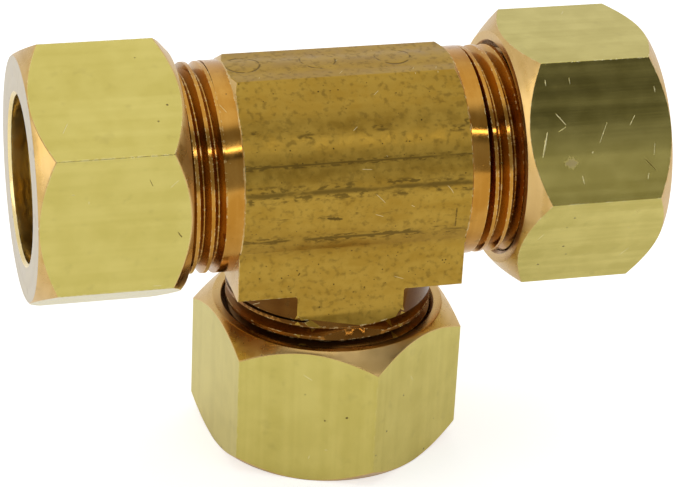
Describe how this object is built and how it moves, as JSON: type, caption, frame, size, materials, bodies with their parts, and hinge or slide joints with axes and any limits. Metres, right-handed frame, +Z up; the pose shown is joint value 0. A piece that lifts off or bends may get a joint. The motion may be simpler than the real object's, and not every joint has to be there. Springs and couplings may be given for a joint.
{
  "type": "compression union tee",
  "caption": "Brass compression tee that joins two tubes in line and one branch, sealed by hexagon nuts and ferrules.",
  "frame": {"origin": "centre of the branch nut's outer face, on which the fitting stands; the run's axis is 30.03 mm above it", "axes": "+X along the run towards the right-hand port, +Y to the back, +Z up, the branch pointing down"},
  "size_m": [0.062, 0.0274, 0.0438],
  "materials": {
    "tee_body": "raw extruded, spigots turned",
    "left_nut": "bright turned",
    "right_nut": "bright turned",
    "branch_nut": "bright turned",
    "left_ferrule": "bright turned",
    "right_ferrule": "bright turned",
    "branch_ferrule": "bright turned"
  },
  "bodies": {
    "tee": {"tee_body": "tee_body"},
    "left_ferrule_body": {"left_ferrule": "left_ferrule"},
    "left_nut_body": {"left_nut": "left_nut"},
    "right_ferrule_body": {"right_ferrule": "right_ferrule"},
    "right_nut_body": {"right_nut": "right_nut"},
    "branch_ferrule_body": {"branch_ferrule": "branch_ferrule"},
    "branch_nut_body": {"branch_nut": "branch_nut"}
  },
  "joints": [
    {"name": "left_ferrule_slide", "type": "slide", "parent": "tee", "child": "left_ferrule_body", "axis": [-1, 0, 0], "range_m": [-0.00176, 0.00529]},
    {"name": "left_nut_turn", "type": "hinge", "parent": "left_ferrule_body", "child": "left_nut_body", "pos_m": [-0.0163, 0, 0.03003], "axis": [-1, 0, 0], "range_deg": [-450, 1350]},
    {"name": "right_ferrule_slide", "type": "slide", "parent": "tee", "child": "right_ferrule_body", "axis": [1, 0, 0], "range_m": [-0.00176, 0.00529]},
    {"name": "right_nut_turn", "type": "hinge", "parent": "right_ferrule_body", "child": "right_nut_body", "pos_m": [0.0163, 0, 0.03003], "axis": [1, 0, 0], "range_deg": [-450, 1350]},
    {"name": "branch_ferrule_slide", "type": "slide", "parent": "tee", "child": "branch_ferrule_body", "axis": [0, 0, -1], "range_m": [-0.00082, 0.00623]},
    {"name": "branch_nut_turn", "type": "hinge", "parent": "branch_ferrule_body", "child": "branch_nut_body", "pos_m": [0, 0, 0.01467], "axis": [0, 0, -1], "range_deg": [-210, 1590]}
  ],
  "couplings": [
    {"joint": "left_ferrule_slide", "follows": "left_nut_turn", "m_per_rad": 0.00022458},
    {"joint": "right_ferrule_slide", "follows": "right_nut_turn", "m_per_rad": 0.00022458},
    {"joint": "branch_ferrule_slide", "follows": "branch_nut_turn", "m_per_rad": 0.00022458}
  ]
}
